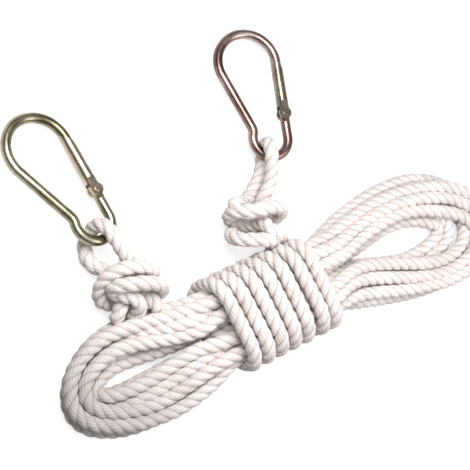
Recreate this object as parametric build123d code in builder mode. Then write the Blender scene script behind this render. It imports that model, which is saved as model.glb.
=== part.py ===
from build123d import *
import os
from math import asin, atan2, cos, degrees, hypot, pi, radians, sin, sqrt, tan

# An escape rope: one rope folded into a hank and wrapped round its middle with its own end, with a
# knotted eye and a spring hook at each end. Millimetres. +Z is up from the surface the rope lies on,
# +X runs along the hank, +Y points from the hank to the hooks. The origin is on that surface, under
# the wrapped waist.

# ---------------------------------------------------------------- rope
rope_d = 8.0  # one rope, three strands
floor_clearance = 0.1  # lowest rope and hook surfaces above the floor

# ---------------------------------------------------------------- hank
waist_w = 40.0  # bundle under the wraps, across
waist_h = 22.0  # bundle under the wraps, up
waist_round = 9.0
waist_x = 0.0  # middle of the waist
waist_y = -2.0
lobe_h = 15.5  # two layers of rope, one nested in the other
lobe_round = 5.5
neck_lap = 5.0  # how far the neck from the waist reaches into a lobe
neck_inset = 0.5  # the neck's foot is smaller than the lobe all round
wrap_turns = 7
wrap_pitch = 9.2
wrap_slant = 6.1  # degrees each turn leans from square to the hank
wrap_clearance = 0.2  # between the bundle and the turns round it
wrap_round = 3.0
wrap_l = wrap_turns * wrap_pitch
wrap_w = waist_w + 2 * (rope_d + wrap_clearance)
wrap_h = waist_h + 2 * (rope_d + wrap_clearance)
waist_z = wrap_h / 2
waist_l = wrap_l + wrap_w * tan(radians(wrap_slant))

# Plan outlines of the two lobes, and of the holes that their loops leave, as points for a spline.
# Each starts and ends beside the waist.
left_lobe = [
    (-58, 19.0), (-71, 22.5), (-87, 24.0), (-101, 21.8), (-114, 15.0), (-122.5, 3.5), (-124.8, -9.0),
    (-120.5, -20.5), (-110, -29.0), (-95, -34.8), (-76, -36.8), (-58, -36.0),
]
left_hole = [
    (-62, -5.8), (-76, -3.3), (-88, -1.8), (-98, -1.8), (-102.5, -4.2), (-98, -6.8), (-88, -8.0), (-76, -7.6),
]
right_lobe = [
    (68, 25.5), (88, 30.0), (107, 31.5), (125, 31.0), (142, 25.0), (157, 15.5), (168, 1.5), (174.5, -14.0),
    (171, -28.0), (161, -38.0), (147, -43.0), (130, -44.3), (114, -43.8), (98, -41.0), (83, -37.5), (68, -33.5),
]
right_hole = [
    (71, -3.0), (90, 0.5), (104, 1.8), (118, 0.2), (131, -5.0), (132.5, -9.0), (120, -13.2), (108, -14.0),
    (96, -10.8), (83, -7.5),
]

# ---------------------------------------------------------------- knots, tails and the left lead
knot_l = 29.0  # along the rope
knot_r = 16.0
knot_groove_r = 13.8  # in the grooves between the knot's turns
knot_end_r = 6.5
knot_right_off = 15.6  # from the side of the wraps to the right knot's centre
knot_left_at = (-69.3, 38.9, knot_r + floor_clearance)
knot_left_heading = 100.0  # degrees, the way the eye leaves the knot
knot_right_at = (13.5, waist_y + wrap_w / 2 + knot_right_off, 18.0)
knot_right_heading = 65.0
rope_z = rope_d / 2 + floor_clearance  # centre of a rope that lies on the floor
tail_left_route = [(-74, 35, 16), (-80, 25.5, 19.5)]
tail_right_route = [(7, 45, 18), (-1, 51, 18)]
lead_left_route = [(-62, 31, 12), (-52, 25.5, 9), (-41, 22, 12), (-29, 16, 17)]

# ---------------------------------------------------------------- snap hook
hook_l = 80.0
wire_d = 5.6
bow_r = 17.8  # centre line of the wide end
bowl_r = 10.6  # centre line of the small end
kink_at = 37.0  # degrees round the bowl, where the spine meets it
kink_r = 6.0
nose_from_bow = 3.2  # from the nose's slanting face to where the gate's line meets the bow
nose_slant = 48.0  # degrees from square across the gate
nose_gap = 0.3
pivot_at = 12.6  # height of the gate's rivet above the bowl's centre
gate_r = 3.6  # at the rivet
gate_nose_r = 3.3
gate_flat = 2.9  # half the gate's depth at the fork
tang_t = 2.4
tang_w = 5.0
tang_top = 2.6  # from the rivet's axis to the face that the plunger presses on
tang_side_clearance = 0.25
rivet_d = 2.4
rivet_running = 0.05
rivet_head_d = 3.8
rivet_head_h = 0.6
gate_slot_top = 4.0  # from the rivet's axis
shoulder_gap = 1.6  # between the gate's round end and the wire's shoulder
bore_r = 1.5
bore_l = 16.0
plunger_running = 0.08
plunger_l = 5.0
plunger_rest_gap = 0.02
spring_wire_d = 0.4
spring_turns = 7
spring_end_gap = 0.1
swing_clearance = 1.1  # between the rope's eye and the wire it swings on

# Where each hook lies: the bowl's centre, the heading of its length from +Y, and its roll.
hooks = {
    "left": {"bowl": (-72.7, 76.0), "heading": 13.7, "roll": -14.0},
    "right": {"bowl": (44.8, 81.5), "heading": -9.3, "roll": 6.0},
}

# ---------------------------------------------------------------- hook values worked out
bow_y = hook_l - wire_d - bow_r - bowl_r
nose_at = sqrt(bow_y**2 - (bow_r - bowl_r) ** 2) - nose_from_bow
gate_tilt = degrees(asin((bow_r - bowl_r) / bow_y))  # the gate's line touches bow and bowl
gate_dir = Vector(sin(radians(gate_tilt)), cos(radians(gate_tilt)))
gate_out = Vector(gate_dir.Y, -gate_dir.X)
bow_tangent = Vector(0, bow_y) + gate_out * bow_r
bowl_tangent = gate_out * bowl_r
pivot = bowl_tangent + gate_dir * ((pivot_at - bowl_tangent.Y) / gate_dir.Y)
nose = bowl_tangent + gate_dir * ((nose_at - bowl_tangent.Y) / gate_dir.Y)
shoulder = pivot - gate_dir * (gate_r + shoulder_gap)
kink = Vector(-bowl_r * cos(radians(kink_at)), bowl_r * sin(radians(kink_at)))
kink_to_bow = Vector(0, bow_y) - kink
spine_l = sqrt(kink_to_bow.length**2 - bow_r**2)
spine_turn = degrees(atan2(bow_r, spine_l) - atan2(kink_to_bow.X, kink_to_bow.Y))
spine_top = kink + Vector(-sin(radians(spine_turn)), cos(radians(spine_turn))) * spine_l
bight_r = wire_d / 2 + rope_d / 2 + swing_clearance
swing_z = rope_z + bight_r
tip_to_pivot = (nose - pivot).length


def resting_pitch(roll):
    """Degrees the hook slopes down from its bowl, which lies on the eye, to its bow on the floor."""
    low, high = 0.0, 30.0
    for _ in range(40):
        pitch = radians((low + high) / 2)
        steepest = hypot(sin(pitch), cos(pitch) * sin(radians(roll)))
        bow_z = swing_z - (bow_y + bowl_r) * sin(pitch) - bow_r * steepest - wire_d / 2
        if bow_z > floor_clearance:
            low = degrees(pitch)
        else:
            high = degrees(pitch)
    return low


def hook_plane(side):
    """The plane of a hook's wire: origin at the bowl's centre, X to the gate side, Y to the bow."""
    lie = hooks[side]
    pitch = resting_pitch(lie["roll"])
    bowl_z = swing_z - bowl_r * sin(radians(pitch))
    flat = Pos(*lie["bowl"], bowl_z) * Rot(0, 0, lie["heading"])
    return Plane(flat * Rot(-pitch, 0, 0) * Rot(0, -lie["roll"], 0))


def on_hook(base, point, angle=0.0):
    """A plane on the hook's own plane at a point, turned clockwise by an angle."""
    return Plane(base.location * Pos(point.X, point.Y, 0) * Rot(0, 0, -angle))


def round_section(line, diameter):
    """A round section square to the start of a line."""
    with BuildSketch(Plane(origin=line @ 0, z_dir=line % 0)) as section:
        Circle(diameter / 2)
    return section.sketch


def finish(part, name):
    part.part.label = name
    export_step(part.part, "parts/" + name + ".step")


def corner_radii(points):
    """The largest arc that each corner's two runs allow."""
    radii = []
    for before, corner, after in zip(points, points[1:], points[2:]):
        arrive = Vector(*corner) - Vector(*before)
        leave = Vector(*after) - Vector(*corner)
        turn = radians(arrive.get_angle(leave))
        radii.append(0.45 * min(arrive.length, leave.length) / tan(turn / 2))
    return radii


def make_rope(points, radii, name):
    """A plain round tube along straight runs and tangent arcs."""
    with BuildPart() as tube:
        with BuildLine() as route:
            if radii:
                FilletPolyline(*points, radius=radii)
            else:
                Line(*points)
        sweep(round_section(route.line, rope_d))
    length = route.wire().length
    filled = tube.part.volume / (pi * rope_d**2 / 4 * length)
    print(name, "length", round(length, 1), "radii", [round(r, 1) for r in radii], "filled", round(filled, 4))
    finish(tube, name)


os.makedirs("parts", exist_ok=True)


# ================================================================ rope
def section_at(x, y, z):
    """A plane square to the hank, its own X along +Y."""
    return Plane(origin=(x, y, z), x_dir=(0, 1, 0), z_dir=(1, 0, 0))


def waist_section(offset):
    """A plane square to the hank, in the middle of the bundle, an offset along it from the waist's middle."""
    return section_at(waist_x + offset, waist_y, waist_z)


def make_hank():
    """The folded bundle: a waist under the wraps and a flat lobe of loops on each side."""
    with BuildPart() as hank:
        for outline in (left_lobe, right_lobe):
            with BuildSketch():
                with BuildLine():
                    edge = Spline(*outline)
                    Line(edge @ 1, edge @ 0)
                make_face()
            extrude(amount=lobe_h)
        rims = hank.faces().filter_by(Plane.XY).edges().filter_by(GeomType.BSPLINE)
        fillet(rims, radius=lobe_round)
        for side, outline in ((-1, left_lobe), (1, right_lobe)):
            foot_x = outline[0][0] + side * neck_lap
            foot_y = (outline[0][1] + outline[-1][1]) / 2
            foot_w = abs(outline[0][1] - outline[-1][1]) - 2 * neck_inset
            with BuildSketch(waist_section(side * waist_l / 2)):
                RectangleRounded(waist_w, waist_h, waist_round)
            with BuildSketch(section_at(foot_x, foot_y, lobe_h / 2)):
                RectangleRounded(foot_w, lobe_h - 2 * neck_inset, lobe_round - neck_inset)
            loft()
        with BuildSketch(waist_section(-waist_l / 2)):
            RectangleRounded(waist_w, waist_h, waist_round)
        extrude(amount=waist_l)
        for outline in (left_hole, right_hole):
            with BuildSketch():
                with BuildLine():
                    Spline(*outline, periodic=True)
                make_face()
            extrude(amount=2 * waist_z, mode=Mode.SUBTRACT)
    finish(hank, "rope_hank")


def make_wraps():
    """The turns round the waist, as the sleeve that they fill."""
    with BuildPart() as wraps:
        with BuildSketch(waist_section(-waist_l)):
            RectangleRounded(wrap_w, wrap_h, waist_round + rope_d + wrap_clearance)
            RectangleRounded(
                waist_w + 2 * wrap_clearance,
                waist_h + 2 * wrap_clearance,
                waist_round + wrap_clearance,
                mode=Mode.SUBTRACT,
            )
        extrude(amount=2 * waist_l)
        lean = (cos(radians(wrap_slant)), sin(radians(wrap_slant)), 0)
        split(bisect_by=Plane(origin=(waist_x - wrap_l / 2, waist_y, 0), z_dir=lean), keep=Keep.TOP)
        split(bisect_by=Plane(origin=(waist_x + wrap_l / 2, waist_y, 0), z_dir=lean), keep=Keep.BOTTOM)
        ends = wraps.faces().sort_by(Axis((0, 0, 0), lean))
        fillet(ends[0].outer_wire().edges() + ends[-1].outer_wire().edges(), radius=wrap_round)
    finish(wraps, "rope_wraps")


def make_knot(at, heading, name):
    """A knot as the bulging solid that its turns fill, along its own axis."""
    third = knot_l / 3
    along = Plane(origin=at, x_dir=(cos(radians(heading)), sin(radians(heading)), 0), z_dir=(0, 0, 1))
    with BuildPart() as knot:
        with BuildSketch(along):
            with BuildLine():
                Line((-knot_l / 2, 0), (-knot_l / 2, knot_end_r))
                ThreePointArc((-knot_l / 2, knot_end_r), (-third, knot_groove_r), (-third / 2, knot_groove_r))
                ThreePointArc((-third / 2, knot_groove_r), (0, knot_r), (third / 2, knot_groove_r))
                ThreePointArc((third / 2, knot_groove_r), (third, knot_groove_r), (knot_l / 2, knot_end_r))
                Line((knot_l / 2, knot_end_r), (knot_l / 2, 0))
                Line((knot_l / 2, 0), (-knot_l / 2, 0))
            make_face()
        revolve(axis=Axis(at, along.x_dir))
    finish(knot, name)


def eye_route(side, legs_in, legs_out, shift):
    """An eye's points: in from the knot, over the hook's wire, round it, under it and back."""
    base = hook_plane(side)
    across = base.x_dir
    level = Vector(0, 0, 1).cross(across).normalized()
    up = across.cross(level)
    axis_at = base.from_local_coords((shift, -bowl_r, 0))
    over = axis_at + level * bight_r + up * bight_r
    under = axis_at + level * bight_r - up * bight_r
    return [Vector(*p) for p in legs_in] + [over, under] + [Vector(*p) for p in legs_out]


def make_eye(side, legs_in, legs_out, shift):
    points = eye_route(side, legs_in, legs_out, shift)
    radii = corner_radii([tuple(p) for p in points])
    first = len(legs_in) - 1
    radii[first] = radii[first + 1] = bight_r - 0.05
    make_rope([tuple(p) for p in points], radii, "rope_eye_" + side)


make_hank()
make_wraps()
make_knot(knot_left_at, knot_left_heading, "rope_knot_left")
make_knot(knot_right_at, knot_right_heading, "rope_knot_right")
make_rope(tail_left_route, [], "rope_tail_left")
make_rope(tail_right_route, [], "rope_tail_right")
make_rope(lead_left_route, corner_radii(lead_left_route), "rope_lead_left")
make_eye(
    "left",
    legs_in=[(-69, 45, 15), (-67, 54, 19)],
    legs_out=[(-81, 64.5, rope_z), (-81.5, 56, rope_z + 0.8), (-75, 46, 9)],
    shift=0.0,
)
make_eye(
    "right",
    legs_in=[(19, 47, 21), (33, 57, 20)],
    legs_out=[(36, 62, rope_z), (27, 53.5, rope_z + 3.5), (17, 46, 14)],
    shift=-2.0,
)


# ================================================================ hooks
def make_frame(side, base):
    """The bent wire: nose, bow, spine, kink, bowl, and the flattened tang that holds the gate."""
    tang_plane = on_hook(base, pivot, gate_tilt)
    nose_plane = on_hook(base, nose, gate_tilt)
    with BuildPart() as frame:
        with BuildLine(base) as route:
            Line(tuple(nose - gate_dir * wire_d), tuple(bow_tangent))
            CenterArc((0, bow_y), bow_r, -gate_tilt, 180 + gate_tilt + spine_turn)
            Line(tuple(spine_top), tuple(kink))
            CenterArc((0, 0), bowl_r, 180 - kink_at, 180 + kink_at - gate_tilt)
            Line(tuple(bowl_tangent), tuple(shoulder))
            fillet(route.vertices().sort_by_distance(base.from_local_coords(tuple(kink)))[0], radius=kink_r)
        sweep(round_section(route.line, wire_d))
        # the slanting face that the gate shuts against
        with BuildSketch(nose_plane):
            with Locations(Rot(0, 0, -nose_slant) * Pos(0, nose_gap / 2 - wire_d)):
                Rectangle(4 * wire_d, 2 * wire_d)
        extrude(amount=wire_d, both=True, mode=Mode.SUBTRACT)
        # the tang between the gate's ears
        with BuildSketch(tang_plane):
            with Locations((0, (tang_top - gate_r - shoulder_gap - wire_d / 2) / 2)):
                Rectangle(tang_w, tang_top + gate_r + shoulder_gap + wire_d / 2)
        extrude(amount=tang_t / 2, both=True)
        with BuildSketch(tang_plane):
            Circle(rivet_d / 2 + rivet_running)
        extrude(amount=tang_t, both=True, mode=Mode.SUBTRACT)
    finish(frame, "hook_frame_" + side)


def make_gate(side, base):
    """The gate: a tapered rod, forked round the tang, bored for its spring, slanted at the nose."""
    gate_plane = on_hook(base, pivot, gate_tilt)
    nose_plane = on_hook(base, nose, gate_tilt)
    length = tip_to_pivot + gate_r * tan(radians(nose_slant))
    taper = degrees(atan2(gate_r - gate_nose_r, tip_to_pivot))
    slot_w = tang_t + 2 * tang_side_clearance
    rod_plane = Plane(gate_plane.origin, x_dir=gate_plane.x_dir, z_dir=gate_plane.y_dir)
    with BuildPart() as gate:
        with BuildSketch(rod_plane):
            Circle(gate_r)
        extrude(amount=length, taper=taper)
        # flats for the rivet's heads, and the round end of the fork
        for offset in (gate_flat, -gate_flat - gate_r):
            with BuildSketch(gate_plane.offset(offset)):
                with Locations((0, gate_r / 2)):
                    Rectangle(2 * gate_r, 3 * gate_r)
            extrude(amount=gate_r, mode=Mode.SUBTRACT)
        with BuildSketch(gate_plane):
            Circle(gate_r)
        extrude(amount=gate_flat, both=True)
        # the fork's slot, the rivet's hole and the spring's bore
        with BuildSketch(gate_plane):
            with Locations((0, gate_slot_top - gate_r * 2)):
                Rectangle(3 * gate_r, 4 * gate_r)
        extrude(amount=slot_w / 2, both=True, mode=Mode.SUBTRACT)
        with BuildSketch(gate_plane):
            Circle(rivet_d / 2)
        extrude(amount=2 * gate_flat, both=True, mode=Mode.SUBTRACT)
        with BuildSketch(rod_plane):
            Circle(bore_r)
        extrude(amount=bore_l, mode=Mode.SUBTRACT)
        with BuildSketch(nose_plane):
            with Locations(Rot(0, 0, -nose_slant) * Pos(0, 2 * wire_d - nose_gap / 2)):
                Rectangle(6 * wire_d, 4 * wire_d)
        extrude(amount=2 * wire_d, both=True, mode=Mode.SUBTRACT)
    finish(gate, "hook_gate_" + side)


def make_rivet(side, base):
    """The rivet that the gate turns on, headed over on both flats."""
    rivet_plane = on_hook(base, pivot, gate_tilt)
    with BuildPart() as rivet:
        with BuildSketch(rivet_plane):
            Circle(rivet_d / 2)
        extrude(amount=gate_flat, both=True)
        for face in (gate_flat, -gate_flat - rivet_head_h):
            with BuildSketch(rivet_plane.offset(face)):
                Circle(rivet_head_d / 2)
            extrude(amount=rivet_head_h)
        top = rivet.faces().sort_by(Axis(rivet_plane.origin, rivet_plane.z_dir))[-1]
        fillet(top.edges(), radius=rivet_head_h * 0.8)
    finish(rivet, "hook_rivet_" + side)


def make_plunger(side, base):
    """The pin that the spring presses on the tang."""
    start = pivot + gate_dir * (tang_top + plunger_rest_gap)
    seat = on_hook(base, start, gate_tilt)
    with BuildPart() as plunger:
        with BuildSketch(Plane(seat.origin, x_dir=seat.x_dir, z_dir=seat.y_dir)):
            Circle(bore_r - plunger_running)
        extrude(amount=plunger_l)
        chamfer(plunger.edges(), length=0.3)
    finish(plunger, "hook_plunger_" + side)


def make_spring(side, base):
    """The coil spring between the plunger and the blind end of the gate's bore."""
    start = tang_top + plunger_rest_gap + plunger_l + spring_end_gap + spring_wire_d / 2
    coil_l = bore_l - start - spring_end_gap - spring_wire_d / 2
    coil_r = bore_r - plunger_running - spring_wire_d / 2
    seat = on_hook(base, pivot + gate_dir * start, gate_tilt)
    coil_plane = Plane(seat.origin, x_dir=seat.x_dir, z_dir=seat.y_dir)
    with BuildPart() as spring:
        with BuildLine() as coil:
            Helix(
                pitch=coil_l / spring_turns,
                height=coil_l,
                radius=coil_r,
                center=coil_plane.origin,
                direction=coil_plane.z_dir,
            )
        sweep(round_section(coil.line, spring_wire_d))
    finish(spring, "hook_spring_" + side)


for side in hooks:
    base = hook_plane(side)
    make_frame(side, base)
    make_gate(side, base)
    make_rivet(side, base)
    make_plunger(side, base)
    make_spring(side, base)
    swing_at = base.from_local_coords((0, -bowl_r, 0))
    pivot_world = base.from_local_coords((pivot.X, pivot.Y, 0))
    gate_along = base.from_local_coords((pivot.X + gate_dir.X, pivot.Y + gate_dir.Y, 0)) - pivot_world
    bow_world = base.from_local_coords((0, bow_y, 0))
    print(side, "swing at", tuple(swing_at), "axis", tuple(base.x_dir), "normal", tuple(base.z_dir))
    print(side, "pivot at", tuple(pivot_world), "gate along", tuple(gate_along), "bow", tuple(bow_world))
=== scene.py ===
import math

import bpy
import numpy as np
from mathutils import Matrix, Vector


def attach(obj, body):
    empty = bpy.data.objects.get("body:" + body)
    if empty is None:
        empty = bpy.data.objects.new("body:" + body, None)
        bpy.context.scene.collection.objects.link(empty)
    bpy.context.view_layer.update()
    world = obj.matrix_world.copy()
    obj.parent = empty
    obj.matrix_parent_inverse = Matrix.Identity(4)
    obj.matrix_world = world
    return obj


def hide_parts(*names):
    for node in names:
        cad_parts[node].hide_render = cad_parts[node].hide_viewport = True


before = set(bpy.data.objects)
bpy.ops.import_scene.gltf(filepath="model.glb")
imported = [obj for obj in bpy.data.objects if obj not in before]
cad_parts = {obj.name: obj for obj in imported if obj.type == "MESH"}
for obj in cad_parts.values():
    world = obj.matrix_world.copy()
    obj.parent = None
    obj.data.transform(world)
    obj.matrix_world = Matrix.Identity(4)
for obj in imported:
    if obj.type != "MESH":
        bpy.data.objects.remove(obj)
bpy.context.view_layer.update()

# ---------------------------------------------------------------- the rope's route, in metres
LAY = 0.0185  # length of one full twist of a strand
STRAND_R = 0.00295
STRAND_AT = 0.00118  # from the rope's centre to a strand's
STRAND_ARC = 120  # degrees of the rope's outline that one strand takes up
STRAND_COLUMNS = 9  # faces across one strand
STRAND_HALF = 0.0031  # from the middle of a strand to its seam, over its surface
STRAND_SPAN = 0.01  # between one strand's own coordinates and the next's
CUT_END_SIZES = (0.55, 0.80, 0.93, 0.98)  # how the rope rounds off at a cut end, ring by ring
STEP = 0.0010  # between the rope's rings
RESOLUTION = 24  # points read from the route for each of its control points

# Each loop of the hank, from beside the waist on the +Y side, round the lobe, to beside it on the -Y
# side, in millimetres. They lie in two layers, and those of a layer are nested in one another.
RIGHT_LOOPS = {
    "low_outer": [
        (57, 20.5, 10), (70, 23.5, 6), (82, 25.5, 5), (96, 27.8, 4.8), (110, 28.3, 4.6), (125, 27.3, 4.4),
        (139, 23, 4.2), (152, 15.5, 4.2), (163, 4, 4.2), (169, -10, 4.2), (168, -23, 4.2), (161, -33, 4.2),
        (149, -38.5, 4.2), (134, -40, 4.2), (119, -40, 4.2), (106, -38.5, 4.2), (94, -36, 4.2),
        (82, -32.8, 4.5), (69, -29, 6), (56, -25, 9),
    ],
    "top_outer": [
        (54, 17.5, 16.5), (66, 19, 13), (78, 20.8, 10.5), (92, 22.6, 9.6), (108, 22.9, 9.5),
        (122, 21.4, 10), (136, 18.3, 10.8), (149, 13, 11.4), (160, 6.5, 11.8), (168, -4, 12),
        (170.5, -16, 12), (166, -27.5, 12), (157, -35, 12), (145, -39, 12), (132, -40, 12),
        (119, -39, 12), (107, -36.6, 12), (95, -33.2, 12), (83, -29.3, 12), (70, -24.8, 12.3),
        (58, -21.5, 13.5),
    ],
    "top_middle": [
        (54, 11.2, 21), (66, 13.3, 16), (78, 15.2, 13), (92, 16.8, 12.2), (108, 17, 12.2), (122, 14.8, 12.2),
        (136, 11, 12.2), (149, 5.5, 12), (158, -2, 12), (163, -11.5, 12), (162, -21.5, 11.5), (155, -29, 10),
        (145, -33.5, 7.5), (133, -35, 5), (120, -33.8, 4.2), (107, -31.5, 4.2), (95, -28.8, 4.2),
        (83, -25.5, 4.2), (70, -21.8, 5.5), (56, -18, 10),
    ],
    "top_inner": [
        (54, 4.4, 21), (66, 6, 15.8), (78, 8.2, 13), (92, 10.4, 12.4), (108, 10.6, 12.2), (122, 7.8, 12),
        (134, 2.8, 11.8), (146, -3, 12), (154.5, -9.8, 12.2), (158.5, -18, 12.2), (156, -26, 12),
        (147, -31.8, 12), (136, -34, 12), (124, -34, 12), (112, -31.6, 12.2), (100, -27.7, 12.4),
        (87, -22.2, 12.6), (74, -17, 13.2), (62, -13.6, 15), (51, -13, 19),
    ],
    "low_third": [
        (55, 13, 13), (68, 14.5, 6.5), (80, 17, 4.3), (92, 19, 4.2), (107, 20, 4.2), (122, 17.5, 4.2),
        (136, 11.5, 4.2), (147, 3.5, 4.2), (154, -6.5, 4.8), (154.8, -15, 6.5), (149, -22, 8.5),
        (139, -26.5, 10), (127, -27, 11.5), (114, -24.3, 12.4), (101, -18.8, 12.5), (88, -13.5, 12.5),
        (75, -9, 13.5), (63, -6.8, 16), (51, -7.5, 20.5),
    ],
    "low_second": [
        (55, 6, 8.5), (67, 7.5, 5), (79, 9.8, 4.2), (91, 12, 4.2), (105, 13, 4.2), (119, 11, 4.2),
        (131, 5.5, 4.2), (140, -2, 4.2), (144.8, -10, 4.4), (141, -17, 5), (132, -20.8, 5),
        (120, -23.2, 4.6), (108, -24.2, 4.2), (96, -21.8, 4.2), (84, -17.8, 4.2), (71, -13.8, 5),
        (57, -11, 8.5),
    ],
    "low_inner": [
        (53, 1.6, 13.5), (64, 1.5, 7), (76, 2.6, 4.4), (91, 4.7, 4.2), (103, 5.7, 4.2), (116, 4.2, 4.2),
        (128, -0.6, 4.2), (136.5, -6.5, 4.3), (136, -11.5, 4.5), (128.5, -14.9, 4.6), (118, -16.7, 4.5),
        (106, -17.2, 4.2), (94, -14.2, 4.2), (82, -10.5, 4.2), (69, -6.5, 5.5), (55, -5, 12),
    ],
}
LEFT_LOOPS = {
    "top_outer": [
        (-46, 14, 21.5), (-58, 15.2, 17.5), (-71, 17.6, 14), (-87, 19.4, 12.3), (-100, 17.6, 12),
        (-112, 11.5, 12), (-119.5, 1.5, 12), (-121, -9, 12), (-115.5, -18, 12), (-106, -24, 12),
        (-94, -28.6, 12.2), (-80, -31.5, 12.4), (-66, -31.6, 13.5), (-53, -29, 15.8), (-42, -25.3, 18),
    ],
    "top_inner": [
        (-44, 2, 24), (-54, 3.2, 20), (-64, 5.6, 16), (-74, 8, 13.3), (-87, 10.7, 12.2), (-98, 9, 12),
        (-108, 4.3, 12), (-113, -2.5, 12), (-112, -10, 12), (-106, -16, 12), (-96.5, -20.6, 12),
        (-84, -23.9, 12.3), (-72, -24.2, 13.3), (-60, -22.2, 16), (-49, -19.6, 20),
    ],
    "low_second": [
        (-46, 8, 23.5), (-56, 9, 20), (-66, 11.2, 14.8), (-77, 13.5, 9), (-89, 13.5, 5), (-102, 8, 4.2),
        (-111, 0, 4.2), (-113.5, -9, 4.6), (-106, -16, 7), (-95, -18.5, 10), (-83, -18.3, 11.6),
        (-70, -17.2, 12.8), (-56, -14.6, 16), (-46, -13, 19.5),
    ],
    "low_to_top": [
        (-45, -0.5, 14), (-55, -1.2, 9), (-66, -0.6, 5.5), (-78, 1, 4.2), (-90, 2.3, 4.4), (-99.5, 0.6, 6.5),
        (-106, -3, 9), (-105, -7.5, 10.3), (-99, -10.3, 11), (-91, -11.4, 11.6), (-82, -11.7, 12.2),
        (-71, -10.5, 13.3), (-60, -8.6, 15.8), (-49, -6.6, 20),
    ],
    "low_outer": [
        (-46, 14.5, 10), (-58, 17.5, 5.5), (-70, 19.8, 4.2), (-84, 20.5, 4.2), (-98, 17.6, 4.2),
        (-111, 9.8, 4.2), (-119.5, -1, 4.2), (-121, -12, 4.2), (-116, -21, 4.2), (-106, -27.3, 4.2),
        (-95, -31, 4.2), (-82, -32.5, 4.2), (-69, -31.8, 5), (-56, -29, 7.5), (-44, -23.5, 10.5),
    ],
    "low_inner": [
        (-45, 5, 9), (-57, 5.5, 5), (-70, 6.3, 4.2), (-83, 7.3, 4.2), (-94, 4.8, 4.2), (-102.5, 0, 4.2),
        (-106.5, -5.5, 4.2), (-101.5, -10, 4.2), (-91, -11.2, 4.2), (-79, -11, 4.2), (-66, -10.5, 5),
        (-53, -10, 8),
    ],
}

# Where each pass lies in the bundle under the wraps, across and up, in millimetres.
SLOTS = {
    "a": (16.5, 19), "b": (12.8, 25.7), "c": (9.2, 19), "d": (5.3, 25.7), "e": (1.8, 19),
    "f": (13, 12.2), "g": (5.5, 12.2),
    "h": (-20.5, 19), "i": (-17, 25.7), "j": (-13.2, 19), "k": (-9.6, 25.7), "l": (-5.8, 19),
    "m": (-17, 12.2), "n": (-9.5, 12.2),
}
WAIST_LEFT = -34
WAIST_RIGHT = 34

# The coil from the lead on. Each turn of it goes from a slot on the left to one on the right, round a
# loop, back from a slot on the right to one on the left, and round another loop.
COIL = [
    ("a", "a", "top_outer", "h", "i", "top_inner"),
    ("d", "d", "top_inner", "i", "h", "top_outer"),
    ("b", "b", "top_middle", "j", "j", "low_second"),
    ("c", "f", "low_outer", "m", "n", "low_inner"),
    ("g", "g", "low_second", "n", "m", "low_outer"),
    ("f", "c", "low_third", "k", "k", "low_to_top"),
    ("e", "e", "low_inner", "l", "l", None),
]


def in_metres(points):
    return [(x / 1000, y / 1000, z / 1000) for x, y, z in points]


hank = []
for left_in, right_in, right_loop, right_out, left_out, left_loop in COIL:
    hank.append((WAIST_LEFT, *SLOTS[left_in]))
    hank.append((WAIST_RIGHT, *SLOTS[right_in]))
    hank += RIGHT_LOOPS[right_loop]
    hank.append((WAIST_RIGHT, *SLOTS[right_out]))
    hank.append((WAIST_LEFT, *SLOTS[left_out]))
    if left_loop:
        hank += reversed(LEFT_LOOPS[left_loop])
hank = in_metres(hank)

# Seven turns round the waist. Each passes over the bundle from +Y to -Y, leaning towards +X, and
# back under it. A point is Y, Z, and how far it has got from one X to the next.
TURN_TOP_X = (-0.0307, -0.0219, -0.0127, -0.0033, 0.0060, 0.0154, 0.0248)
TURN_LOW_X = (-0.0249, -0.0157, -0.0066, 0.0023, 0.0113, 0.0222, 0.0304)
TURN_OVER = [
    (0.0222, 0.0190, 0.0), (0.0222, 0.0275, 0.06), (0.0165, 0.0345, 0.18), (0.0060, 0.0347, 0.36),
    (-0.0060, 0.0347, 0.56), (-0.0175, 0.0345, 0.76), (-0.0262, 0.0275, 0.92), (-0.0265, 0.0190, 1.0),
]
TURN_UNDER = [
    (-0.0262, 0.0105, 0.0), (-0.0190, 0.0042, 0.15), (-0.0060, 0.0041, 0.4), (0.0060, 0.0041, 0.6),
    (0.0160, 0.0042, 0.85), (0.0222, 0.0100, 1.0),
]

# They start hidden under the bundle, at the left of the waist.
wraps = [
    (-0.0375, -0.0060, 0.0110), (-0.0368, 0.0015, 0.0045), (-0.0355, 0.0100, 0.0041),
    (-0.0335, 0.0180, 0.0045), (-0.0315, 0.0220, 0.0100),
]
for turn, (top_x, low_x) in enumerate(zip(TURN_TOP_X, TURN_LOW_X)):
    for y, z, part in TURN_OVER:
        wraps.append((top_x + (low_x - top_x) * part, y, z))
    for next_x in TURN_TOP_X[turn + 1:turn + 2]:
        for y, z, part in TURN_UNDER:
            wraps.append((low_x + (next_x - low_x) * part, y, z))

# ---------------------------------------------------------------- knots
KNOT_LEFT = (-0.0690, 0.0375)
KNOT_RIGHT = (0.0135, 0.0425)
KNOT_HEADING = math.radians(65)


def knot_route(centre, points):
    """Points given in millimetres along a knot's axis, to its left side and up, in the row frame."""
    c = math.cos(KNOT_HEADING)
    s = math.sin(KNOT_HEADING)
    return [
        (centre[0] + along * c - side * s, centre[1] + along * s + side * c, up)
        for along, side, up in in_metres(points)
    ]


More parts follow.
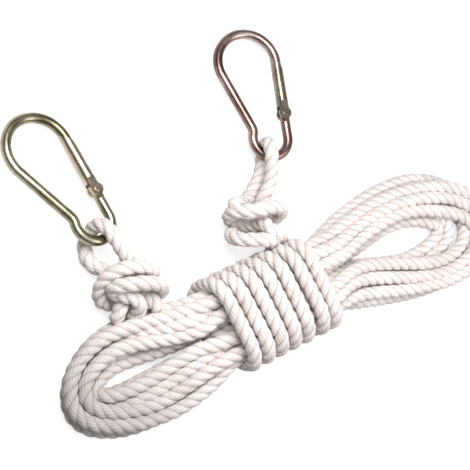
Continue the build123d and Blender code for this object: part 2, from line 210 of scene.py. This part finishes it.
# The left end: its cut end, up through the knot, round the hook's wire, and then the knot's own turns.
left_end = knot_route(KNOT_LEFT, [
    (-18, 6, 8), (-12.5, 5, 14), (-7, 3.5, 13), (-1, 0, 12), (6, -2, 12), (11.5, -0.5, 14),
])
left_end += [
    (-0.0665, 0.0560, 0.0190),
    (-0.0701, 0.0739, 0.0197),
    (-0.0738, 0.0730, 0.0043),
    (-0.0810, 0.0645, 0.0042),
    (-0.0815, 0.0560, 0.0049),
]
left_end += knot_route(KNOT_LEFT, [
    (9, 12, 6), (5, 7, 5), (3, -2, 4.2), (5, -11, 6), (7.5, -14, 12), (9.5, -10, 20), (10, -1, 25),
    (8.5, 8, 24), (4, 14.5, 19), (-3, 16.5, 12), (-9, 12, 6), (-8, 3, 4.2), (-5, -8, 4.2), (-3, -16.5, 7.5),
    (-1, -18.5, 14.5), (1, -14.5, 23), (1.5, -6, 28), (0.5, 3, 28.5), (-0.5, 10.5, 24.5), (-3.5, 11.5, 18),
    (-5, 5, 20), (-6.5, -1, 21), (-9.5, -4.5, 19), (-14, -4.5, 13), (-15.5, -4, 6), (-11, -5, 4.2),
    (-6, -8, 9), (-4.5, -10.5, 15), (-8, -13.5, 16), (-12, -17, 12),
])
left_end += [(-0.0520, 0.0175, 0.0130), (-0.0430, 0.0168, 0.0170)]

# The right end: out of the last turn, up into the knot, its turns, round the hook's wire, and its cut end.
right_end = [
    (0.0285, -0.0262, 0.0105), (0.0260, -0.0190, 0.0042), (0.0230, -0.0060, 0.0041), (0.0205, 0.0060, 0.0041),
    (0.0190, 0.0180, 0.0046), (0.0210, 0.0260, 0.0100),
]
right_end += knot_route(KNOT_RIGHT, [
    (-13, -10, 19), (-11.5, -4, 25), (-12, 4, 26), (-12, 11, 22), (-10, 14.5, 14), (-6, 10, 6), (-3, 0, 4.2),
    (0, -11, 5), (3.5, -16, 11), (6, -15, 19), (7, -8, 26), (5.5, 0, 28.5), (3.5, 7, 27), (3.5, 13, 22),
    (3, 16, 14), (0, 12, 7), (-2, 3, 8), (-3, -2, 15), (-2, -2.5, 22), (-5.5, -3, 25.5), (-8, -8, 25),
    (-9, -14.5, 20), (-8, -17, 12), (-3, -12, 7), (4, -6, 8), (11, -5, 12),
])
right_end += [
    (0.0330, 0.0600, 0.0165),
    (0.0390, 0.0800, 0.0200),
    (0.0420, 0.0800, 0.0050),
    (0.0340, 0.0640, 0.0045),
]
right_end += knot_route(KNOT_RIGHT, [
    (16, -1, 6), (11, 3, 10), (9, 9, 15), (8, 14, 19), (7.5, 18, 20),
])


def route_line(name, points):
    """The smooth line through a route's control points, read from its NURBS spline."""
    data = bpy.data.curves.new(name, "CURVE")
    data.dimensions = "3D"
    spline = data.splines.new("NURBS")
    spline.points.add(len(points) - 1)
    for point, place in zip(spline.points, points):
        point.co = (*place, 1)
    spline.order_u = 3
    spline.use_endpoint_u = True
    spline.resolution_u = RESOLUTION
    holder = bpy.data.objects.new(name, data)
    bpy.context.collection.objects.link(holder)
    bpy.context.view_layer.update()
    depsgraph = bpy.context.evaluated_depsgraph_get()
    mesh = bpy.data.meshes.new_from_object(holder.evaluated_get(depsgraph))
    line = np.array([v.co for v in mesh.vertices])
    bpy.data.meshes.remove(mesh)
    bpy.data.objects.remove(holder)
    bpy.data.curves.remove(data)
    return line


def even(line, step):
    """The same line with its points a step apart, how far along each is, and how far each old one was."""
    along = np.concatenate([[0], np.cumsum(np.linalg.norm(np.diff(line, axis=0), axis=1))])
    count = round(along[-1] / step)
    places = np.linspace(0, along[-1], count + 1)
    spaced = np.stack([np.interp(places, along, line[:, k]) for k in range(3)], axis=1)
    return spaced, places, along


def carried_frames(line):
    """Tangents, and two directions square to them that don't spin about the line."""
    tangents = np.gradient(line, axis=0)
    tangents /= np.linalg.norm(tangents, axis=1)[:, None]
    first = np.zeros_like(line)
    start = np.cross(tangents[0], (0.3, 0.2, 1.0))
    first[0] = start / np.linalg.norm(start)
    for i in range(1, len(line)):
        side = first[i - 1] - tangents[i] * np.dot(first[i - 1], tangents[i])
        first[i] = side / np.linalg.norm(side)
    return tangents, first, np.cross(tangents, first)


def rope_mesh(name, line, places, first, second, closed_start, closed_end):
    """A rope of three strands laid right-handed round a line, with each strand's own coordinates."""
    per = STRAND_COLUMNS
    local = np.linspace(-STRAND_ARC / 2, STRAND_ARC / 2, per + 1)[:-1]
    radius = STRAND_AT * np.cos(np.radians(local))
    radius = radius + np.sqrt(STRAND_R**2 - (STRAND_AT * np.sin(np.radians(local))) ** 2)
    angles = np.radians(np.concatenate([local + STRAND_ARC * k for k in range(3)]))
    radii = np.tile(radius, 3)
    columns = len(angles)
    turn = 2 * math.pi * places / LAY
    swell = np.ones(len(line))
    ends = ((closed_start, 0, 1), (closed_end, len(line) - 1, -1))
    for closed, at, way in ends:
        if closed:
            for i, size in enumerate(CUT_END_SIZES):
                swell[at + way * i] = size
    theta = turn[:, None] + angles[None, :]
    out = (radii[None, :] * swell[:, None])[:, :, None]
    around = np.cos(theta)[:, :, None] * first[:, None, :] + np.sin(theta)[:, :, None] * second[:, None, :]
    points = (line[:, None, :] + out * around).reshape(-1, 3)
    rings = len(line)
    i = np.arange(rings - 1)[:, None] * columns
    j = np.arange(columns)[None, :]
    k = (j + 1) % columns
    faces = np.stack([i + j, i + k, i + columns + k, i + columns + j], axis=2).reshape(-1, 4)
    mesh = bpy.data.meshes.new(name)
    polygons = faces.tolist()
    if closed_start:
        polygons.append(list(range(columns))[::-1])
    if closed_end:
        polygons.append([(rings - 1) * columns + c for c in range(columns)])
    mesh.from_pydata(points.tolist(), [], polygons)
    strand = np.concatenate([np.linspace(-1, 1, per + 1)] * 3).reshape(3, per + 1)
    left = strand[:, :-1].reshape(-1)
    right = strand[:, 1:].reshape(-1)
    number = np.repeat(np.arange(3), per)
    u0 = (left * STRAND_HALF + number * STRAND_SPAN)[None, :].repeat(rings - 1, 0)
    u1 = (right * STRAND_HALF + number * STRAND_SPAN)[None, :].repeat(rings - 1, 0)
    v0 = places[:-1, None].repeat(columns, 1)
    v1 = places[1:, None].repeat(columns, 1)
    corners = np.stack([u0, v0, u1, v0, u1, v1, u0, v1], axis=2).reshape(-1)
    extra = (len(mesh.loops) * 2) - len(corners)
    corners = np.concatenate([corners, np.zeros(extra)])
    layer = mesh.uv_layers.new(name="strand")
    layer.data.foreach_set("uv", corners)
    mesh.polygons.foreach_set("use_smooth", [True] * len(mesh.polygons))
    mesh.update()
    piece = bpy.data.objects.new(name, mesh)
    bpy.context.collection.objects.link(piece)
    return piece


# ---------------------------------------------------------------- materials
def node(tree, kind, **values):
    made = tree.nodes.new(kind)
    for key, value in values.items():
        if key in made.inputs:
            made.inputs[key].default_value = value
        else:
            setattr(made, key, value)
    return made


def math_of(tree, operation, *terms):
    """The result of a Math node over sockets and plain numbers."""
    made = node(tree, "ShaderNodeMath", operation=operation)
    for socket, term in zip(made.inputs, terms):
        if isinstance(term, bpy.types.NodeSocket):
            tree.links.new(term, socket)
        else:
            socket.default_value = term
    return made.outputs[0]


def mapped(tree, value, from_min, from_max, to_min, to_max, **values):
    """A value carried from one range to another, and held at its ends."""
    made = node(tree, "ShaderNodeMapRange", **values)
    tree.links.new(value, made.inputs["Value"])
    made.inputs["From Min"].default_value = from_min
    made.inputs["From Max"].default_value = from_max
    made.inputs["To Min"].default_value = to_min
    made.inputs["To Max"].default_value = to_max
    return made.outputs[0]


def ramped(tree, value, *stops):
    """The colour that a value picks from stops, each a place and a colour."""
    made = tree.nodes.new("ShaderNodeValToRGB")
    elements = made.color_ramp.elements
    while len(elements) < len(stops):
        elements.new(0.5)
    for element, (place, colour) in zip(elements, stops):
        element.position = place
        element.color = (*colour, 1)
    tree.links.new(value, made.inputs["Fac"])
    return made.outputs["Color"]


def noise(tree, coords, **values):
    """How strong a noise texture is at each place on the object."""
    made = node(tree, "ShaderNodeTexNoise", **values)
    tree.links.new(coords.outputs["Object"], made.inputs["Vector"])
    return made.outputs["Fac"]


def bumped(tree, shader, height, strength, distance):
    """Give the shader a surface that rises with height."""
    bump = node(tree, "ShaderNodeBump", Strength=strength, Distance=distance)
    tree.links.new(height, bump.inputs["Height"])
    tree.links.new(bump.outputs[0], shader.inputs["Normal"])


def new_material(name):
    material = bpy.data.materials.new(name)
    material.use_nodes = True
    tree = material.node_tree
    return material, tree, tree.nodes["Principled BSDF"]


YARN_PITCH = 0.00135  # between one fine yarn of a strand and the next
YARN_SLANT = 1.15  # how far a yarn crosses its strand as it runs along it
# painted shade: how near another surface has to be for a groove to be painted darker
GROOVE_SHADE_REACH = 0.0016  # how near another surface has to be to darken a groove
PALE = (0.86, 0.80, 0.775)
DULL = (0.72, 0.65, 0.625)
# the colour of the painted shade down in the grooves
GROOVE_PAINTED_SHADE = (0.30, 0.22, 0.17)
WHITE = (1.0, 1.0, 1.0)


def rope_material():
    """Warm off-white cotton: fine yarns along each strand, brownish painted shade in the grooves and along
    the strand seams, and painted shade greying the left end of the hank.
    """
    material, tree, shader = new_material("cotton_rope")
    shader.inputs["Roughness"].default_value = 0.88
    shader.inputs["Specular IOR Level"].default_value = 0.25
    shader.inputs["Sheen Weight"].default_value = 0.25
    shader.inputs["Sheen Roughness"].default_value = 0.5
    shader.inputs["Subsurface Weight"].default_value = 0.12
    shader.inputs["Subsurface Radius"].default_value = (0.0016, 0.0012, 0.0009)
    shader.inputs["Subsurface Scale"].default_value = 1.0
    uv = node(tree, "ShaderNodeUVMap", uv_map="strand")
    split = tree.nodes.new("ShaderNodeSeparateXYZ")
    tree.links.new(uv.outputs["UV"], split.inputs[0])
    coords = tree.nodes.new("ShaderNodeTexCoord")
    # yarns: fine lines that run back across the strand's own lay
    slant = math_of(tree, "MULTIPLY", split.outputs["Y"], YARN_SLANT)
    phase = math_of(tree, "ADD", split.outputs["X"], slant)
    wander = noise(tree, coords, Scale=420.0, Detail=2.0)
    bend = math_of(tree, "MULTIPLY_ADD", wander, 0.0006, phase)
    wave = math_of(tree, "SINE", math_of(tree, "MULTIPLY", bend, 2 * math.pi / YARN_PITCH))
    # fuzz and unevenness
    fuzz = noise(tree, coords, Scale=2600.0, Detail=3.0, Roughness=0.7)
    bumped(tree, shader, math_of(tree, "MULTIPLY_ADD", wave, 0.45, fuzz), 0.7, 0.00026)
    # colour: off-white, a little duller here and there, with brownish painted shade down in the grooves
    patches = noise(tree, coords, Scale=85.0, Detail=3.0, Roughness=0.55)
    base = ramped(tree, patches, (0.30, DULL), (0.68, PALE))
    # painted shade: darker brown wherever another surface is near, in the grooves between strands and turns
    groove_occlusion = node(tree, "ShaderNodeAmbientOcclusion", Distance=GROOVE_SHADE_REACH, samples=8)
    painted_groove_shade = ramped(tree, groove_occlusion.outputs["AO"], (0.08, GROOVE_PAINTED_SHADE), (0.42, WHITE))
    mix = node(tree, "ShaderNodeMix", data_type="RGBA", blend_type="MULTIPLY")
    mix.inputs[0].default_value = 1.0
    tree.links.new(base, mix.inputs[6])
    tree.links.new(painted_groove_shade, mix.inputs[7])
    yarn_shade = mapped(tree, wave, -1.0, 1.0, 0.84, 1.0)
    # painted shade along the seam where one strand tucks under the next
    own = math_of(tree, "WRAP", split.outputs["X"], STRAND_SPAN / 2, -STRAND_SPAN / 2)
    outward = math_of(tree, "ABSOLUTE", own)
    painted_seam_shade = mapped(tree, outward, STRAND_HALF * 0.72, STRAND_HALF, 1.0, 0.66, interpolation_type="SMOOTHSTEP")
    # painted shade: greyer towards the left end of the hank, where less light reaches it
    along = node(tree, "ShaderNodeVectorMath", operation="DOT_PRODUCT")
    along.inputs[1].default_value = (0.84, 0.54, 0.0)
    tree.links.new(coords.outputs["Object"], along.inputs[0])
    painted_left_shade = mapped(tree, along.outputs["Value"], -0.105, -0.040, 0.60, 1.0, interpolation_type="SMOOTHSTEP")
    shade = math_of(tree, "MULTIPLY", math_of(tree, "MULTIPLY", yarn_shade, painted_seam_shade), painted_left_shade)
    shaded = node(tree, "ShaderNodeVectorMath", operation="SCALE")
    tree.links.new(mix.outputs[2], shaded.inputs[0])
    tree.links.new(shade, shaded.inputs["Scale"])
    tree.links.new(shaded.outputs[0], shader.inputs["Base Color"])
    return material


def steel_material(name, tint, shadow, pale):
    """Passivated zinc on steel: one tint, with darker and paler patches and a fine grain."""
    material, tree, shader = new_material(name)
    shader.inputs["Metallic"].default_value = 1.0
    coords = tree.nodes.new("ShaderNodeTexCoord")
    film = noise(tree, coords, Scale=55.0, Detail=3.0, Roughness=0.6)
    tree.links.new(ramped(tree, film, (0.36, shadow), (0.5, tint), (0.64, pale)), shader.inputs["Base Color"])
    grain = noise(tree, coords, Scale=900.0, Detail=4.0, Roughness=0.65)
    tree.links.new(mapped(tree, grain, 0.0, 1.0, 0.15, 0.36), shader.inputs["Roughness"])
    bumped(tree, shader, grain, 0.12, 0.0002)
    return material


# ---------------------------------------------------------------- the rope
rope_look = rope_material()
route = left_end + hank + wraps + right_end
line, places, read_along = even(route_line("rope_route", route), STEP)
tangents, first, second = carried_frames(line)


def beside_point(number):
    """The index of the rope's point beside one of its control points."""
    return round(read_along[round((number - 0.5) * RESOLUTION)] / places[1])


lead_end = beside_point(len(left_end))
coil_end = beside_point(len(left_end) + len(hank) + 1)
wraps_end = beside_point(len(left_end) + len(hank) + len(wraps))
cuts = [0, lead_end, coil_end, wraps_end, len(line) - 1]
names = ("rope_end_left", "rope_coil", "rope_turns", "rope_end_right")
stands_for = (
    ("rope_knot_left", "rope_tail_left", "rope_eye_left", "rope_lead_left"),
    ("rope_hank",),
    ("rope_wraps",),
    ("rope_knot_right", "rope_tail_right", "rope_eye_right"),
)
exits = (lead_end, lead_end, coil_end, wraps_end)
for name, a, b, nodes, exit_at in zip(names, cuts, cuts[1:], stands_for, exits):
    part = slice(a, b + 1)
    piece = rope_mesh(name, line[part], places[part], first[part], second[part], a == 0, b == len(line) - 1)
    piece.data.materials.append(rope_look)
    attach(piece, "rope")
    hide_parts(*nodes)

# ---------------------------------------------------------------- hooks
spring_steel = steel_material("spring_steel", (0.55, 0.55, 0.54), (0.42, 0.42, 0.42), (0.62, 0.61, 0.60))
hook_steels = {
    "left": (
        steel_material("zinc_frame_left", (0.28, 0.255, 0.175), (0.14, 0.125, 0.075), (0.42, 0.385, 0.29)),
        steel_material("zinc_gate_left", (0.42, 0.36, 0.28), (0.28, 0.24, 0.17), (0.52, 0.44, 0.36)),
    ),
    "right": (
        steel_material("zinc_frame_right", (0.25, 0.165, 0.145), (0.12, 0.08, 0.07), (0.38, 0.30, 0.27)),
        steel_material("zinc_gate_right", (0.29, 0.255, 0.21), (0.19, 0.165, 0.13), (0.38, 0.33, 0.28)),
    ),
}
for side, (frame_steel, gate_steel) in hook_steels.items():
    looks = {
        "frame": frame_steel, "gate": gate_steel, "rivet": gate_steel,
        "plunger": spring_steel, "spring": spring_steel,
    }
    for part, look in looks.items():
        for material_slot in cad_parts[f"hook_{part}_{side}"].material_slots:
            material_slot.material = look

# ---------------------------------------------------------------- floor, light and camera
FLOOR_REACH = 3.0
BACKDROP_TOP = 0.28  # sine of the angle from the horizon up to the top of the white backdrop


def looked_at(tree):
    """1 for what the camera sees and for what shows in a gloss, and 0 for other light."""
    rays = tree.nodes.new("ShaderNodeLightPath")
    return math_of(tree, "MAXIMUM", rays.outputs["Is Camera Ray"], rays.outputs["Is Glossy Ray"])


floor_data = bpy.data.meshes.new("floor")
corners = [(-1, -1), (1, -1), (1, 1), (-1, 1)]
floor_data.from_pydata([(x * FLOOR_REACH, y * FLOOR_REACH, 0) for x, y in corners], [], [(0, 1, 2, 3)])
floor = bpy.data.objects.new("floor", floor_data)
bpy.context.collection.objects.link(floor)
floor_look, floor_tree, floor_shader = new_material("white_floor")
floor_shader.inputs["Base Color"].default_value = (0.42, 0.42, 0.43, 1)
floor_shader.inputs["Roughness"].default_value = 0.9
floor_shader.inputs["Specular IOR Level"].default_value = 0.0
# White where it is looked at, and darker to the light that it gives back to the object.
white = node(floor_tree, "ShaderNodeEmission", Color=(1, 1, 1, 1), Strength=0.70)
together = floor_tree.nodes.new("ShaderNodeAddShader")
floor_tree.links.new(floor_shader.outputs[0], together.inputs[0])
floor_tree.links.new(white.outputs[0], together.inputs[1])
dim = node(floor_tree, "ShaderNodeBsdfDiffuse", Color=(0.34, 0.33, 0.31, 1))
chosen = floor_tree.nodes.new("ShaderNodeMixShader")
floor_tree.links.new(looked_at(floor_tree), chosen.inputs[0])
floor_tree.links.new(dim.outputs[0], chosen.inputs[1])
floor_tree.links.new(together.outputs[0], chosen.inputs[2])
floor_tree.links.new(chosen.outputs[0], floor_tree.nodes["Material Output"].inputs["Surface"])
floor_data.materials.append(floor_look)


def area_light(name, place, target, size, power, tint):
    data = bpy.data.lights.new(name, "AREA")
    data.shape = "RECTANGLE"
    data.size = size[0]
    data.size_y = size[1]
    data.energy = power
    data.color = tint
    lamp = bpy.data.objects.new(name, data)
    lamp.location = place
    lamp.rotation_euler = (Vector(target) - Vector(place)).to_track_quat("-Z", "Y").to_euler()
    bpy.context.collection.objects.link(lamp)


area_light("key", (-0.06, 0.20, 0.36), (-0.04, 0.03, 0), (0.26, 0.26), 1.85, (1.0, 0.988, 0.98))
area_light("fill", (0.18, -0.20, 0.34), (0.00, 0.02, 0), (0.30, 0.30), 0.95, (1.0, 0.99, 0.99))
area_light("top", (-0.05, -0.02, 1.10), (-0.02, 0.02, 0), (0.8, 0.8), 2.0, (1.0, 0.985, 0.98))

# The studio round it: bright overhead and dark at its walls, which is what the steel reflects,
# with a low white backdrop all round where it is looked at.
world = bpy.data.worlds.new("studio")
world.use_nodes = True
sky = world.node_tree
outward = sky.nodes.new("ShaderNodeTexCoord")
parts = sky.nodes.new("ShaderNodeSeparateXYZ")
sky.links.new(outward.outputs["Generated"], parts.inputs[0])
height = parts.outputs["Z"]
shade = ramped(sky, height, (0.36, (0.034, 0.031, 0.028)), (0.85, (0.53, 0.53, 0.54)))
backdrop = math_of(sky, "MULTIPLY", math_of(sky, "LESS_THAN", height, BACKDROP_TOP), looked_at(sky))
seen = node(sky, "ShaderNodeMix", data_type="RGBA")
sky.links.new(backdrop, seen.inputs[0])
sky.links.new(shade, seen.inputs[6])
seen.inputs[7].default_value = (*WHITE, 1)
sky.links.new(seen.outputs[2], sky.nodes["Background"].inputs["Color"])
sky.nodes["Background"].inputs["Strength"].default_value = 1.0
bpy.context.scene.world = world

# The photograph's view, from above and to the left.
camera_data = bpy.data.cameras.new("camera")
camera_data.lens = 76.0
camera_data.sensor_width = 36.0
camera = bpy.data.objects.new("camera", camera_data)
camera_at = Vector((-0.2450, 0.0778, 0.5004))
right_way = Vector((0.8164, -0.3750, 0.4389))
up_way = Vector((0.3652, 0.9243, 0.1110))
back_way = right_way.cross(up_way)
camera.matrix_world = Matrix((
    (right_way.x, up_way.x, back_way.x, camera_at.x),
    (right_way.y, up_way.y, back_way.y, camera_at.y),
    (right_way.z, up_way.z, back_way.z, camera_at.z),
    (0, 0, 0, 1),
))
bpy.context.collection.objects.link(camera)
bpy.context.scene.camera = camera
bpy.context.scene.view_settings.view_transform = "Standard"
